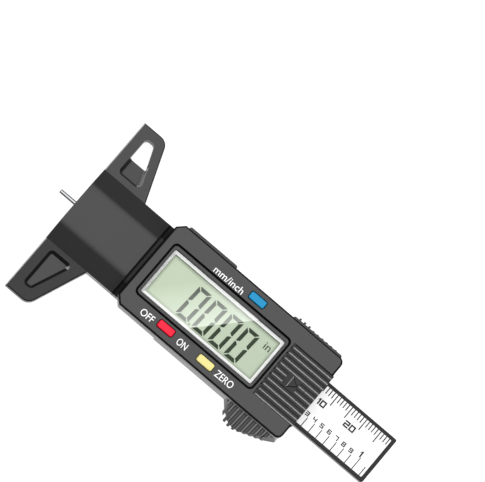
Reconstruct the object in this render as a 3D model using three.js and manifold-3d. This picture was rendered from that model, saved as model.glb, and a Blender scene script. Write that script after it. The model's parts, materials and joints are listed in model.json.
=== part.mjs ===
// Digital tread depth gauge: a foot and body in one piece, with a slider that carries the probe.
// Millimetres. X runs from the measuring face to the slider's far end, Z points at the display side.
// The origin lies on the measuring face, half way across the foot and half way through its plate.
import * as THREE from "three";
import { ConvexGeometry } from "three/addons/geometries/ConvexGeometry.js";
import { mergeVertices } from "three/addons/utils/BufferGeometryUtils.js";
import Module from "manifold-3d";

const wasm = await Module();
wasm.setup();

// Reading and travel
const READING = 5.3; // how far the probe stands out at rest
const FULL_READING = 25.4; // one inch
const STOP_PLAY = 0.05; // left between the stop pin and the end of its slot

// Foot and stem
const FOOT_HALF = 28.85;
const FOOT_HALF_THICK = 2.1;
const FOOT_BEVEL = 0.3;
const FOOT_TIP = 7.85; // the wings' slanted sides run from this depth at the tips
const FOOT_ROOT = 14.35; // to this depth at the stem
const FOOT_CORNER = 3;
const STEM_END = 22.9;
const STEM_HALF = 12.1;
const STEM_BACK = -2.4;
const HUMP_TOP = 5;
const HUMP_HALF = 6;
const HUMP_CORNER = 6;
const NECK_TOP = 4.15;
const NECK_HALF = 7.7;
const LIP = { start: 23.6, end: 24.4, half: 7.2, top: 4.75 }; // low bar across the neck
const TUNNEL_START = 3.6; // the probe hole is this long
const PROBE_HOLE_R = 1.15;
const OPENING_DEPTH = 2.7; // pocket round the +Y wing's through opening
const RECESS_DEPTH = 1.5; // blind recess in the -Y wing
const POCKET_LEAN = 0.85;

// Body: a tray below the split and the display housing above it
const BODY_START = 24.6;
const BODY_END = 82.3;
const BODY_BACK = -3;
const BODY_STEP = 39.4; // the body's back and side step outwards here
const SPLIT = 5.5;
const BODY_TOP = 9;
const HOUSING_HALF = 13.9;
const TRAY_HALF = 13.4;
const TRAY_REAR_HALF = 13.7; // behind the step, on the thumb grip's side
const FRONT_CHAMFER = 2;
const REAR_CORNER = 1.8;
const WALL = 1.2;
const HOUSING_UNDER = BODY_TOP - WALL; // inner face of the housing's top wall
const HOUSING_EDGE = 0.65; // radius of the rim round the display side
const INNER_HALF = 12.8;
const SHELF = [26.6, 69.5, 9.15]; // start, end and half width of the block that holds the window

// Slider, given at a reading of zero
const BEAM_START = 29.5;
const BEAM_END = 112.05;
const BEAM_HALF = 7.45;
const BEAM_TOP = 3.4;
const BEAM_PLAY = 0.15;
const LABEL_START = 41.5;
const LABEL_END = 110.95;
const LABEL_HALF = 6.43;
const LABEL_THICK = 0.1;
const LABEL_PROUD = 0.05;
const GRATING_THICK = 0.55;
const PROBE_Z = 1.65;
const PROBE_R = 0.6;
const PROBE_ROD_R = 1;
const PROBE_TIP_LENGTH = 10;
const PROBE_LENGTH = 37.5;
const STOP_X = 50;
const STOP_R = 1;
const STOP_SLOT_DEPTH = 1.25;

// Circuit board and display stack, from the board up
const BOARD_BOTTOM = 3.8;
const BOARD_TOP = 4.6;
const REFLECTOR_BOTTOM = 5.45;
const GLASS_BOTTOM = 5.6;
const GLASS_TOP = 6.7;
const SHELF_TOP = 7.3;
const MASK_TOP = 7.5;
const LENS_TOP = 8.5;
const DISPLAY_X = 47.7;
const RECESS = [41, 17.7, 1.5]; // length, width, corner radius
const WINDOW_FRAME = [39.9, 16.6, 1.1];
const WINDOW_FRAME_HOLE = [38.4, 14.65, 0.5];
const WINDOW_FRAME_TOP = 8.7;
const LENS = [38.3, 14.55, 0.45];
const VIEW = [36.75, 12.8, 0.3];
const GLASS = [39.4, 15.4, 0.2];
const REFLECTOR = [36.8, 11.8, 0];
const ZEBRA = [36, 1.5, 0];
const ZEBRA_Y = 6.8;
const BOARD = { start: 26.1, end: 68.5, half: 12.4, notchEnd: 29.5, notchHalf: 9.3 };
const CHIP_X = 45;

// Push buttons
const BUTTONS = {
  unit: { x: 53.9, y: 11.05, colour: 0x2f9bd8 },
  power: { x: 40.2, y: -10.7, colour: 0xf4384a },
  zero: { x: 54.05, y: -10.85, colour: 0xfdf08a },
};
const BUTTON_TOP = 9.35;
const CAP = [5.1, 2.15, 0.5];
const CAP_OPENING = [5.5, 2.55, 0.7];
const FLANGE = [6.6, 2.9, 0.5];
const FLANGE_TOP = 7.55;
const FLANGE_BOTTOM = 7;
const PLUNGER_BOTTOM = 5.75;
const PLUNGER_R = 0.8;
const DOME_R = 1.6;
const DOME_RISE = 0.65;
const DOME_Y = 10.55; // the domes sit a little further in than the caps

// Battery bay and door
const BAY_START = 69;
const BAY_HALF = 9.9;
const BAY_BOTTOM = 3.85;
const BAY_FLOOR = 4.35;
const CELL_X = 75.9;
const CELL_R = 5.8;
const CELL_THICK = 3.05;
const CELL_BOTTOM = 4.5;
const CONTACT_START = 66.6;
const NEGATIVE_STRIP = { end: 80, y0: -4.3, y1: -2.1, thick: 0.12 };
const POSITIVE_STRIP = { top: 7.3, half: 1.1, thick: 0.15 };
const DOOR_START = 68.85;
const DOOR_END = 82.65;
const DOOR_HALF = 8.65;
const DOOR_PLATE_BOTTOM = 8.15;
const TONGUE_HALF = 9.2;
const TONGUE_BOTTOM = 7.6;
const DOOR_RIBS = 10;
const DOOR_RIB_PITCH = 1.787;
const DOOR_RIB_HEIGHT = 0.32;
const DOOR_RIB_START = 69.35;
const DOOR_RIB_FOOT = 0.62; // half widths of a rib's foot and of its top
const DOOR_RIB_TOP = 0.3;
const DOOR_MARK = [72.8, 77.1]; // the two middle ribs stop here to leave room for the arrow
const ARROW_BAR = { start: 73.2, end: 73.8, half: 2 };
const ARROW_HEAD = { start: 74.35, tip: 77, half: 1.8, flank: 0.3 };
const DOOR_SCALLOP_R = 0.3;

// Thumb grip: its outline at the back, where its slope starts under the housing, and its ribs
const GRIP_OUTLINE = [
  [63.6, -12.9],
  [66.1, -15.6],
  [68.6, -17.5],
  [70.6, -18.1],
  [72.6, -17.9],
  [79.9, -15.1],
  [BODY_END - 0.1, -13.8],
];
const RIB_OUTLINE = [
  [65, -12.9],
  [66.1, -16.4],
  [67.7, -18.2],
  [69.4, -18.7],
  [71.5, -18.5],
  [79.8, -15.4],
  [BODY_END - 0.1, -13.8],
];
const GRIP_TOP_Y = -13.75;
const RIB_TOP_Y = -14.25;
const GRIP_ROOT_Y = -12.5;
const GRIP_RIB_START = 66.1;
const GRIP_RIB_PITCH = 1.57;
const GRIP_RIBS = 9;
const GRIP_RIB_WIDTH = 0.8;

// The two pads on the +Y side; the rear one is ribbed, and its first ribs stand proud
const PAD_FRONT = { x: 35.9, length: 16.6, half: 15 };
const PAD_REAR = { x: 72.6, length: 16.8, half: 14.85 };
const PAD_DEPTH = 3;
const PAD_CORNER = 0.6;
const PAD_RIB_WIDTH = 0.6;
const PAD_RIB_PROUD = 0.15;
const PAD_TALL_RIBS = 3;
const PAD_TALL_RIB_PROUD = 0.5;

// Screws that hold the housing: along the body, across it, and the height of the head's face
const SCREWS = {
  front_left: [27.7, 11, -2.3],
  front_right: [27.7, -11, -2.3],
  rear_left: [79, 11, -2.9],
  rear_right: [79, -11, -2.9],
};
const SCREW_R = 0.85;
const SCREW_HEAD_R = 1.5;
const SCREW_HEAD = 1.1;
const SCREW_LENGTH = 9.4;
const BOSS_R = 1.5;

const ROUND = 40; // sides of a full circle
const CORNER = 3; // a corner arc gets twice this many sides

// ---- solids -----------------------------------------------------------------------------------

function toSolid(geometry) {
  const plain = geometry.index ? geometry.toNonIndexed() : geometry.clone();
  plain.deleteAttribute("normal");
  plain.deleteAttribute("uv");
  const merged = mergeVertices(plain, 1e-4);
  const mesh = new wasm.Mesh({
    numProp: 3,
    vertProperties: merged.attributes.position.array,
    triVerts: new Uint32Array(merged.index.array),
  });
  return new wasm.Manifold(mesh);
}

function toMesh(name, solid, { colour, roughness = 0.6, metalness = 0 }) {
  const { vertProperties, triVerts } = solid.getMesh();
  const geometry = new THREE.BufferGeometry();
  geometry.setAttribute("position", new THREE.BufferAttribute(vertProperties, 3));
  geometry.setIndex(new THREE.BufferAttribute(triVerts, 1));
  geometry.computeVertexNormals();
  const material = new THREE.MeshStandardMaterial({ color: colour, roughness, metalness });
  const mesh = new THREE.Mesh(geometry, material);
  mesh.name = name;
  return mesh;
}

const join = (...solids) => solids.reduce((all, next) => all.add(next));
const cut = (solid, ...tools) => tools.reduce((left, tool) => left.subtract(tool), solid);

// An outline of straight sides from [x, y, radius] corners; a corner with a radius is rounded.
function outline(corners) {
  const shape = new THREE.Shape();
  corners.forEach(([x, y, radius = 0], i) => {
    const draw = i === 0 ? "moveTo" : "lineTo";
    if (radius === 0) {
      shape[draw](x, y);
      return;
    }
    const corner = new THREE.Vector2(x, y);
    const before = corners[(i + corners.length - 1) % corners.length];
    const after = corners[(i + 1) % corners.length];
    const back = new THREE.Vector2(before[0] - x, before[1] - y).normalize();
    const ahead = new THREE.Vector2(after[0] - x, after[1] - y).normalize();
    const half = Math.acos(back.dot(ahead)) / 2;
    const inward = back.clone().add(ahead).normalize();
    const centre = corner.clone().addScaledVector(inward, radius / Math.sin(half));
    const start = corner.clone().addScaledVector(back, radius / Math.tan(half));
    const end = corner.clone().addScaledVector(ahead, radius / Math.tan(half));
    const from = start.clone().sub(centre).angle();
    const to = end.clone().sub(centre).angle();
    shape[draw](start.x, start.y);
    shape.absarc(centre.x, centre.y, radius, from, to, back.cross(ahead) > 0);
  });
  return shape;
}

function rectangle([length, width, radius = 0], x = 0, y = 0) {
  const [a, b] = [length / 2, width / 2];
  return outline([
    [x - a, y - b, radius],
    [x + a, y - b, radius],
    [x + a, y + b, radius],
    [x - a, y + b, radius],
  ]);
}

function extrude(shape, depth, options = {}) {
  return new THREE.ExtrudeGeometry(shape, {
    depth,
    bevelEnabled: false,
    curveSegments: CORNER,
    ...options,
  });
}

// A prism that stands on z0 and ends at z1.
function prism(shape, z0, z1, options) {
  return toSolid(extrude(shape, z1 - z0, options).translate(0, 0, z0));
}

// A prism whose edges are bevelled at both ends, inside the outline.
function bevelled(shape, z0, z1, bevel, segments = 2) {
  const geometry = extrude(shape, z1 - z0 - 2 * bevel, {
    bevelEnabled: true,
    bevelThickness: bevel,
    bevelSize: bevel,
    bevelOffset: -bevel,
    bevelSegments: segments,
  });
  return toSolid(geometry.translate(0, 0, z0 + bevel));
}

// A prism along X from a (y, z) outline.
function alongX(shape, x0, x1, options) {
  const turn = new THREE.Matrix4().makeBasis(
    new THREE.Vector3(0, 1, 0),
    new THREE.Vector3(0, 0, 1),
    new THREE.Vector3(1, 0, 0),
  );
  return toSolid(extrude(shape, x1 - x0, options).translate(0, 0, x0).applyMatrix4(turn));
}

// A prism along Y from an (x, z) outline.
function alongY(shape, y0, y1, options) {
  const turn = new THREE.Matrix4().makeBasis(
    new THREE.Vector3(1, 0, 0),
    new THREE.Vector3(0, 0, 1),
    new THREE.Vector3(0, -1, 0),
  );
  return toSolid(extrude(shape, y1 - y0, options).translate(0, 0, -y1).applyMatrix4(turn));
}

function box(x0, x1, y0, y1, z0, z1) {
  const geometry = new THREE.BoxGeometry(x1 - x0, y1 - y0, z1 - z0);
  return toSolid(geometry.translate((x0 + x1) / 2, (y0 + y1) / 2, (z0 + z1) / 2));
}

// A box that spans the middle line.
const slab = (x0, x1, half, z0, z1) => box(x0, x1, -half, half, z0, z1);

// An upright cylinder.
function post(x, y, radius, z0, z1, sides = ROUND) {
  const geometry = new THREE.CylinderGeometry(radius, radius, z1 - z0, sides);
  return toSolid(geometry.rotateX(Math.PI / 2).translate(x, y, (z0 + z1) / 2));
}

// A body of revolution about Z from [radius, height] points that start and end on the axis.
function turned(points, sides = ROUND) {
  const profile = points.map(([radius, height]) => new THREE.Vector2(radius, height));
  return toSolid(new THREE.LatheGeometry(profile, sides).rotateX(Math.PI / 2));
}

// ---- frame: foot, stem and tray ---------------------------------------------------------------

function footPlate() {
  const shape = outline([
    [0, -FOOT_HALF],
    [FOOT_TIP, -FOOT_HALF, FOOT_CORNER],
    [FOOT_ROOT, -STEM_HALF],
    [FOOT_ROOT, STEM_HALF],
    [FOOT_TIP, FOOT_HALF, FOOT_CORNER],
    [0, FOOT_HALF],
  ]);
  return bevelled(shape, -FOOT_HALF_THICK, FOOT_HALF_THICK, FOOT_BEVEL, 1);
}

// A pocket in the foot's display side whose walls lean in towards its floor.
function pocketTool(floor, depth) {
  const geometry = extrude(floor, 2, {
    bevelEnabled: true,
    bevelThickness: depth,
    bevelSize: POCKET_LEAN,
    bevelSegments: 1,
  });
  return toSolid(geometry.translate(0, 0, FOOT_HALF_THICK + 0.001));
}

// The wing opening on the +Y side: a pocket whose outer part goes right through.
function openingTool() {
  const floor = outline([
    [3.9, 14.7, 0.5],
    [9.8, 14.7, 0.6],
    [8, 19.6],
    [3.9, 19.6],
  ]);
  const through = outline([
    [3.15, 19.2],
    [8.65, 19.2],
    [5.9, 26, 1.1],
    [3.15, 26, 1.2],
  ]);
  const reach = FOOT_HALF_THICK + 1;
  return join(pocketTool(floor, OPENING_DEPTH), prism(through, -reach, reach));
}

// The blind recess on the -Y side.
function recessTool() {
  const floor = outline([
    [3.9, -14.3, 0.5],
    [3.9, -24.6, 0.4],
    [5.3, -24.6, 0.4],
    [9.5, -14.3, 0.5],
  ]);
  return pocketTool(floor, RECESS_DEPTH);
}

// The stem's cross-section: flat on top, rounded shoulders, a crisp crease at the foot's face.
function stemSection() {
  return outline([
    [-STEM_HALF, STEM_BACK, 0.3],
    [STEM_HALF, STEM_BACK, 0.3],
    [STEM_HALF, FOOT_HALF_THICK],
    [HUMP_HALF, HUMP_TOP, HUMP_CORNER],
    [-HUMP_HALF, HUMP_TOP, HUMP_CORNER],
    [-STEM_HALF, FOOT_HALF_THICK],
  ]);
}

// Behind the stem the hump stops and leaves a low neck over the slider.
function neckSection() {
  return outline([
    [-STEM_HALF, STEM_BACK, 0.3],
    [STEM_HALF, STEM_BACK, 0.3],
    [STEM_HALF, FOOT_HALF_THICK],
    [NECK_HALF, NECK_TOP],
    [-NECK_HALF, NECK_TOP],
    [-STEM_HALF, FOOT_HALF_THICK],
  ]);
}

function trayOutline() {
  return outline([
    [BODY_START, -TRAY_HALF + FRONT_CHAMFER],
    [BODY_START + FRONT_CHAMFER, -TRAY_HALF],
    [BODY_STEP, -TRAY_HALF],
    [BODY_STEP, -TRAY_REAR_HALF],
    [BODY_END, -TRAY_REAR_HALF, REAR_CORNER],
    [BODY_END, TRAY_HALF, REAR_CORNER],
    [BODY_START + FRONT_CHAMFER, TRAY_HALF],
    [BODY_START, TRAY_HALF - FRONT_CHAMFER],
  ]);
}

// A block that slopes from a straight line under the housing out to the given outline at the back.
function gripBlock(edge, topY) {
  const [first, last] = [edge[0], edge[edge.length - 1]];
  const topStart = first[0] + 1;
  const topEnd = last[0] - 1;
  const points = [
    ...edge.map(([x, y]) => new THREE.Vector3(x, y, BODY_BACK)),
    new THREE.Vector3(first[0], GRIP_ROOT_Y, BODY_BACK),
    new THREE.Vector3(last[0], GRIP_ROOT_Y, BODY_BACK),
    new THREE.Vector3(topStart, GRIP_ROOT_Y, SPLIT),
    new THREE.Vector3(topEnd, GRIP_ROOT_Y, SPLIT),
    new THREE.Vector3(topStart, topY, SPLIT),
    new THREE.Vector3(topEnd, topY, SPLIT),
  ];
  return toSolid(new ConvexGeometry(points));
}

function thumbGrip() {
  const ribBlock = gripBlock(RIB_OUTLINE, RIB_TOP_Y);
  let grip = gripBlock(GRIP_OUTLINE, GRIP_TOP_Y);
  for (let i = 0; i < GRIP_RIBS; i++) {
    const x = GRIP_RIB_START + i * GRIP_RIB_PITCH;
    const slice = box(x, x + GRIP_RIB_WIDTH, -20, GRIP_ROOT_Y, BODY_BACK, SPLIT);
    grip = grip.add(ribBlock.intersect(slice));
  }
  return grip;
}

function sidePads() {
  const pad = ({ x, length, half }) =>
    prism(rectangle([length, PAD_DEPTH, PAD_CORNER], x, half - PAD_DEPTH / 2), BODY_BACK, SPLIT);
  let pads = join(pad(PAD_FRONT), pad(PAD_REAR));
  for (let i = 0; i < GRIP_RIBS; i++) {
    const x = GRIP_RIB_START + i * GRIP_RIB_PITCH - PAD_RIB_WIDTH / 2;
    const tip = PAD_REAR.half + (i < PAD_TALL_RIBS ? PAD_TALL_RIB_PROUD : PAD_RIB_PROUD);
    pads = pads.add(box(x, x + PAD_RIB_WIDTH, INNER_HALF, tip, BODY_BACK, SPLIT));
  }
  return pads;
}

// Holes and counterbores for the housing screws and the travel stop, from the back.
function backHoles() {
  const holes = Object.values(SCREWS).map(([x, y, face]) =>
    join(
      post(x, y, SCREW_R + 0.15, -4, BOARD_BOTTOM + 0.1, 20),
      post(x, y, SCREW_HEAD_R + 0.2, -4, face + SCREW_HEAD),
    ),
  );
  holes.push(post(STOP_X, 0, STOP_R + 0.02, -4, 1, 24));
  holes.push(post(STOP_X, 0, 1.95, -4, BODY_BACK + 1.2));
  return holes;
}

function frame() {
  const outside = join(
    footPlate(),
    alongX(stemSection(), 0, STEM_END, { curveSegments: 6 }),
    alongX(neckSection(), STEM_END - 1, BODY_START + 1),
    slab(LIP.start, LIP.end, LIP.half, NECK_TOP - 0.2, LIP.top),
    prism(trayOutline(), BODY_BACK, SPLIT),
    thumbGrip(),
    sidePads(),
  );
  const half = BEAM_HALF + BEAM_PLAY;
  const probeHole = new THREE.CylinderGeometry(PROBE_HOLE_R, PROBE_HOLE_R, 6, ROUND);
  return cut(
    outside,
    openingTool(),
    recessTool(),
    box(BODY_START - 0.5, BODY_STEP, -16, 16, BODY_BACK - 1, STEM_BACK),
    toSolid(probeHole.rotateZ(Math.PI / 2).translate(2, 0, PROBE_Z)),
    slab(TUNNEL_START, BODY_END + 1, half, -BEAM_PLAY, BEAM_TOP + 0.25),
    slab(BODY_START, BODY_END + 1, half, 0, SPLIT + 1),
    slab(BODY_START + WALL, BODY_END - WALL, INNER_HALF, BOARD_BOTTOM, SPLIT + 1),
    slab(BAY_START - 0.2, BODY_END + 1, BAY_HALF + 0.2, BAY_BOTTOM - 0.05, SPLIT + 1),
    box(53, 77, -half - 0.65, -half + 0.1, 0.4, 3),
    ...backHoles(),
  );
}

// ---- display housing --------------------------------------------------------------------------

function housingOutline() {
  return outline([
    [BODY_START, -HOUSING_HALF + FRONT_CHAMFER],
    [BODY_START + FRONT_CHAMFER, -HOUSING_HALF],
    [BODY_END, -HOUSING_HALF, REAR_CORNER],
    [BODY_END, HOUSING_HALF, REAR_CORNER],
    [BODY_START + FRONT_CHAMFER, HOUSING_HALF],
    [BODY_START, HOUSING_HALF - FRONT_CHAMFER],
  ]);
}

// The slot that the door slides in, open at the body's end.
function doorSlot() {
  return [
    slab(DOOR_START - 0.05, BODY_END + 1, DOOR_HALF + 0.1, DOOR_PLATE_BOTTOM - 0.3, BODY_TOP + 1),
    slab(BAY_START + 0.9, BODY_END + 1, TONGUE_HALF + 0.15, TONGUE_BOTTOM - 0.1, 8.3),
    slab(BAY_START + 0.9, BODY_END + 1, 6.1, BAY_FLOOR, TONGUE_BOTTOM),
  ];
}

function displayHousing() {
  const under = HOUSING_UNDER + 0.1;
  const [shelfStart, shelfEnd, shelfHalf] = SHELF;
  const outer = bevelled(housingOutline(), SPLIT - 2, BODY_TOP, HOUSING_EDGE, 3);
  const shell = cut(
    outer.intersect(slab(0, 100, 20, SPLIT, 20)),
    slab(BODY_START + WALL, BODY_END - WALL, INNER_HALF, SPLIT - 1, HOUSING_UNDER),
  );
  const screws = Object.values(SCREWS);
  const solid = join(
    shell,
    slab(BODY_START + 0.3, BODY_START + WALL, BEAM_HALF, BAY_BOTTOM, SPLIT + 1),
    slab(shelfStart, shelfEnd, shelfHalf, GLASS_TOP, under),
    slab(BAY_START, BODY_END, BAY_HALF, BAY_BOTTOM, under),
    ...screws.map(([x, y]) => post(x, y, BOSS_R, BOARD_BOTTOM, under, 24)),
  );
  return cut(
    solid,
    prism(rectangle(RECESS, DISPLAY_X), SHELF_TOP, BODY_TOP + 1, { curveSegments: 4 }),
    prism(rectangle(VIEW, DISPLAY_X), GLASS_TOP - 1, BODY_TOP),
    ...Object.values(BUTTONS).map(({ x, y }) =>
      prism(rectangle(CAP_OPENING, x, y), HOUSING_UNDER - 1, BODY_TOP + 1),
    ),
    ...doorSlot(),
    box(BAY_START - 1, BAY_START + 1, -4.6, 1.4, BAY_FLOOR, 6.2),
    ...screws.map(([x, y]) => post(x, y, SCREW_R + 0.05, 3, 7.4, 20)),
  );
}

// ---- display and circuit ----------------------------------------------------------------------

// A flat ring between two rectangles.
function flatRing(outer, inner, z0, z1) {
  return cut(prism(rectangle(outer), z0, z1), prism(rectangle(inner), z0 - 1, z1 + 1));
}

// The board's two front corners are cut away round the housing's bosses.
function circuitBoard() {
  const { start, end, half, notchEnd, notchHalf } = BOARD;
  const board = outline([
    [start, -notchHalf],
    [notchEnd, -notchHalf, 0.6],
    [notchEnd, -half],
    [end, -half, 0.5],
    [end, half, 0.5],
    [notchEnd, half],
    [notchEnd, notchHalf, 0.6],
    [start, notchHalf],
  ]);
  return prism(board, BOARD_BOTTOM, BOARD_TOP);
}

function driverChip() {
  return turned([
    [0, 0],
    [4.2, 0],
    [4.1, 0.3],
    [3.2, 0.62],
    [1.6, 0.76],
    [0, 0.8],
  ]);
}

function dome() {
  const steps = 4;
  const arc = (radius, rise) =>
    Array.from({ length: steps + 1 }, (_, i) => {
      const angle = (i / steps) * (Math.PI / 2);
      return [radius * Math.cos(angle), rise * Math.sin(angle)];
    });
  const outer = arc(DOME_R, DOME_RISE);
  const inner = arc(DOME_R - 0.2, DOME_RISE - 0.15).reverse();
  outer[steps][0] = 0;
  inner[0][0] = 0;
  return turned([...inner, ...outer], 24);
}

// Cap, flange and plunger; the origin is the middle of the cap's top face.
function button(plungerShift) {
  const flangeBottom = FLANGE_BOTTOM - BUTTON_TOP;
  const flangeTop = FLANGE_TOP - BUTTON_TOP;
  const plungerBottom = PLUNGER_BOTTOM - BUTTON_TOP;
  return join(
    bevelled(rectangle(CAP), flangeTop - 0.4, 0, 0.2, 1),
    prism(rectangle(FLANGE), flangeBottom, flangeTop),
    post(0, plungerShift, PLUNGER_R, plungerBottom, flangeBottom + 0.1, 16),
  );
}

// ---- battery ----------------------------------------------------------------------------------

function coinCell() {
  return turned(
    [
      [0, 0],
      [4.6, 0],
      [4.8, 0.2],
      [4.9, 0.45],
      [5.6, 0.45],
      [CELL_R, 0.7],
      [CELL_R, CELL_THICK - 0.2],
      [5.6, CELL_THICK],
      [0, CELL_THICK],
    ],
    48,
  );
}

// A strip soldered to the board that runs under the cell.
function negativeContact() {
  const { end, y0, y1, thick } = NEGATIVE_STRIP;
  const strip = outline([
    [CONTACT_START, BOARD_TOP],
    [BAY_START - 0.4, BOARD_TOP],
    [BAY_START, BAY_FLOOR],
    [end, BAY_FLOOR],
    [end, BAY_FLOOR + thick],
    [BAY_START + 0.1, BAY_FLOOR + thick],
    [BAY_START - 0.3, BOARD_TOP + thick],
    [CONTACT_START, BOARD_TOP + thick],
  ]);
  return alongY(strip, y0, y1);
}

// A strip soldered to the board that stands up against the cell's rim.
function positiveContact() {
  const { top, half, thick } = POSITIVE_STRIP;
  const face = CELL_X - CELL_R - 0.02;
  const strip = outline([
    [CONTACT_START, BOARD_TOP],
    [face, BOARD_TOP],
    [face, top],
    [face - thick, top],
    [face - thick, BOARD_TOP + thick],
    [CONTACT_START, BOARD_TOP + thick],
  ]);
  return alongY(strip, -half, half);
}

// A ridge of the door's top face, a trapezoid across.
function doorRib(y, x0, x1) {
  const foot = BODY_TOP - 0.05;
  const top = BODY_TOP + DOOR_RIB_HEIGHT;
  const section = outline([
    [y - DOOR_RIB_FOOT, foot],
    [y + DOOR_RIB_FOOT, foot],
    [y + DOOR_RIB_TOP, top],
    [y - DOOR_RIB_TOP, top],
  ]);
  return alongX(section, x0, x1);
}

// The raised mark that shows which way the door leaves: a bar and an arrowhead with sloped sides.
function doorArrow() {
  const { start, end, half } = ARROW_BAR;
  const head = outline([
    [ARROW_HEAD.start, -ARROW_HEAD.half],
    [ARROW_HEAD.tip, 0],
    [ARROW_HEAD.start, ARROW_HEAD.half],
  ]);
  const geometry = extrude(head, 0.01, {
    bevelEnabled: true,
    bevelThickness: DOOR_RIB_HEIGHT,
    bevelSize: ARROW_HEAD.flank,
    bevelOffset: -ARROW_HEAD.flank,
    bevelSegments: 1,
  });
  return [
    slab(start, end, half, BODY_TOP - 0.05, BODY_TOP + DOOR_RIB_HEIGHT),
    toSolid(geometry.translate(0, 0, BODY_TOP)),
  ];
}

function batteryDoor() {
  const end = BODY_END + 0.08;
  const plate = outline([
    [DOOR_START, -DOOR_HALF],
    [DOOR_END, -DOOR_HALF, 0.3],
    [DOOR_END, DOOR_HALF, 0.3],
    [DOOR_START, DOOR_HALF],
  ]);
  let door = join(
    prism(plate, DOOR_PLATE_BOTTOM, BODY_TOP),
    slab(BAY_START + 1.05, end, TONGUE_HALF, TONGUE_BOTTOM, DOOR_PLATE_BOTTOM + 0.01),
    slab(end, DOOR_END, DOOR_HALF, BAY_FLOOR - 0.4, DOOR_PLATE_BOTTOM + 0.01),
    ...doorArrow(),
  );
  for (let i = 0; i < DOOR_RIBS; i++) {
    const y = (i - (DOOR_RIBS - 1) / 2) * DOOR_RIB_PITCH;
    const middle = Math.abs(y) < DOOR_RIB_PITCH;
    const spans = middle
      ? [[DOOR_RIB_START, DOOR_MARK[0]], [DOOR_MARK[1], DOOR_END]]
      : [[DOOR_RIB_START, DOOR_END]];
    spans.forEach(([x0, x1]) => {
      door = door.add(doorRib(y, x0, x1));
    });
    if (i > 0) {
      const scallopY = y - DOOR_RIB_PITCH / 2;
      door = door.subtract(post(DOOR_START, scallopY, DOOR_SCALLOP_R, 8, BODY_TOP + 1, 12));
    }
  }
  return door;
}

// ---- screws -----------------------------------------------------------------------------------

// A pan-head screw: the head's face is at z = 0 and the shank points up.
function screw(radius, headRadius, head, length) {
  const pitch = 0.7;
  const core = radius * 0.8;
  const profile = [
    [0, 0],
    [headRadius * 0.7, 0],
    [headRadius, head * 0.35],
    [headRadius, head],
    [core, head],
  ];
  for (let z = length * 0.45; z < length - pitch - 0.6; z += pitch) {
    profile.push([core, z], [radius, z + pitch / 2]);
  }
  profile.push([core, length - 0.6], [core * 0.3, length], [0, length]);
  const drive = [
    box(-headRadius * 0.55, headRadius * 0.55, -0.16, 0.16, -1, head * 0.5),
    box(-0.16, 0.16, -headRadius * 0.55, headRadius * 0.55, -1, head * 0.5),
  ];
  return cut(turned(profile, 20), ...drive);
}

// The travel stop: a shouldered pin with a slotted head.
function travelStop() {
  const tip = BODY_BACK + 0.1;
  const profile = [
    [0, 0],
    [1.6, 0],
    [1.8, 0.2],
    [1.8, 1],
    [STOP_R, 1],
    [STOP_R, STOP_SLOT_DEPTH - 0.25 - tip],
    [STOP_R - 0.15, STOP_SLOT_DEPTH - 0.1 - tip],
    [0, STOP_SLOT_DEPTH - 0.1 - tip],
  ];
  return cut(turned(profile, 24), box(-3, 3, -0.2, 0.2, -1, 0.45));
}

// ---- slider -----------------------------------------------------------------------------------

function beam() {
  const length = BEAM_END - BEAM_START;
  const middle = (BEAM_START + BEAM_END) / 2;
  const seat = BEAM_TOP + LABEL_PROUD - LABEL_THICK - GRATING_THICK;
  const slotStart = STOP_X - STOP_R - STOP_PLAY;
  const slotEnd = STOP_X + STOP_R + FULL_READING + STOP_PLAY;
  const slotSize = [slotEnd - slotStart, 2 * STOP_R + 0.3, 0];
  const labelSize = [LABEL_END - LABEL_START, 2 * LABEL_HALF, 0.3];
  const socket = new THREE.CylinderGeometry(PROBE_ROD_R + 0.01, PROBE_ROD_R + 0.01, 9, 24);
  return cut(
    bevelled(rectangle([length, 2 * BEAM_HALF, 0.5], middle), 0, BEAM_TOP, 0.15, 1),
    prism(rectangle(labelSize, (LABEL_START + LABEL_END) / 2), seat, BEAM_TOP + 1),
    prism(rectangle(slotSize, (slotStart + slotEnd) / 2), -1, STOP_SLOT_DEPTH),
    toSolid(socket.rotateZ(Math.PI / 2).translate(PROBE_LENGTH - 4.45, 0, PROBE_Z)),
  );
}

function probe() {
  const profile = [
    [0, 0],
    [PROBE_R - 0.15, 0],
    [PROBE_R, 0.2],
    [PROBE_R, PROBE_TIP_LENGTH],
    [PROBE_ROD_R, PROBE_TIP_LENGTH + 0.5],
    [PROBE_ROD_R, PROBE_LENGTH],
    [0, PROBE_LENGTH],
  ];
  return turned(profile, 24);
}

function flatStrip(thick) {
  const size = [LABEL_END - LABEL_START - 0.06, 2 * LABEL_HALF - 0.06, 0.27];
  return prism(rectangle(size, (LABEL_START + LABEL_END) / 2), 0, thick);
}

// A thin leaf bowed towards the slider, in a pocket of the tray's wall.
function gibSpring() {
  const points = 8;
  const [x0, x1, bow, thick] = [-11.6, 11.6, 0.5, 0.12];
  const at = (i) => x0 + ((x1 - x0) * i) / points;
  const rise = (x) => bow * (1 - (x / x1) ** 2);
  const lower = Array.from({ length: points + 1 }, (_, i) => [at(i), rise(at(i))]);
  const upper = lower.map(([x, y]) => [x, y + thick]).reverse();
  return prism(outline([...lower, ...upper]), -1.1, 1.1);
}

// ---- assembly ---------------------------------------------------------------------------------

const DARK = { colour: 0x2c2c2e, roughness: 0.62 };
const BEZEL = { colour: 0x4a4a4c, roughness: 0.7 };
const STEEL = { colour: 0xc8ccd0, roughness: 0.28, metalness: 1 };
const NICKEL = { colour: 0xb9b7ae, roughness: 0.35, metalness: 1 };
const BRASS = { colour: 0xc9a25a, roughness: 0.35, metalness: 1 };

function placed(mesh, x, y, z) {
  mesh.position.set(x, y, z);
  return mesh;
}

const gauge = new THREE.Group();
gauge.name = "tread_depth_gauge";

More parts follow.
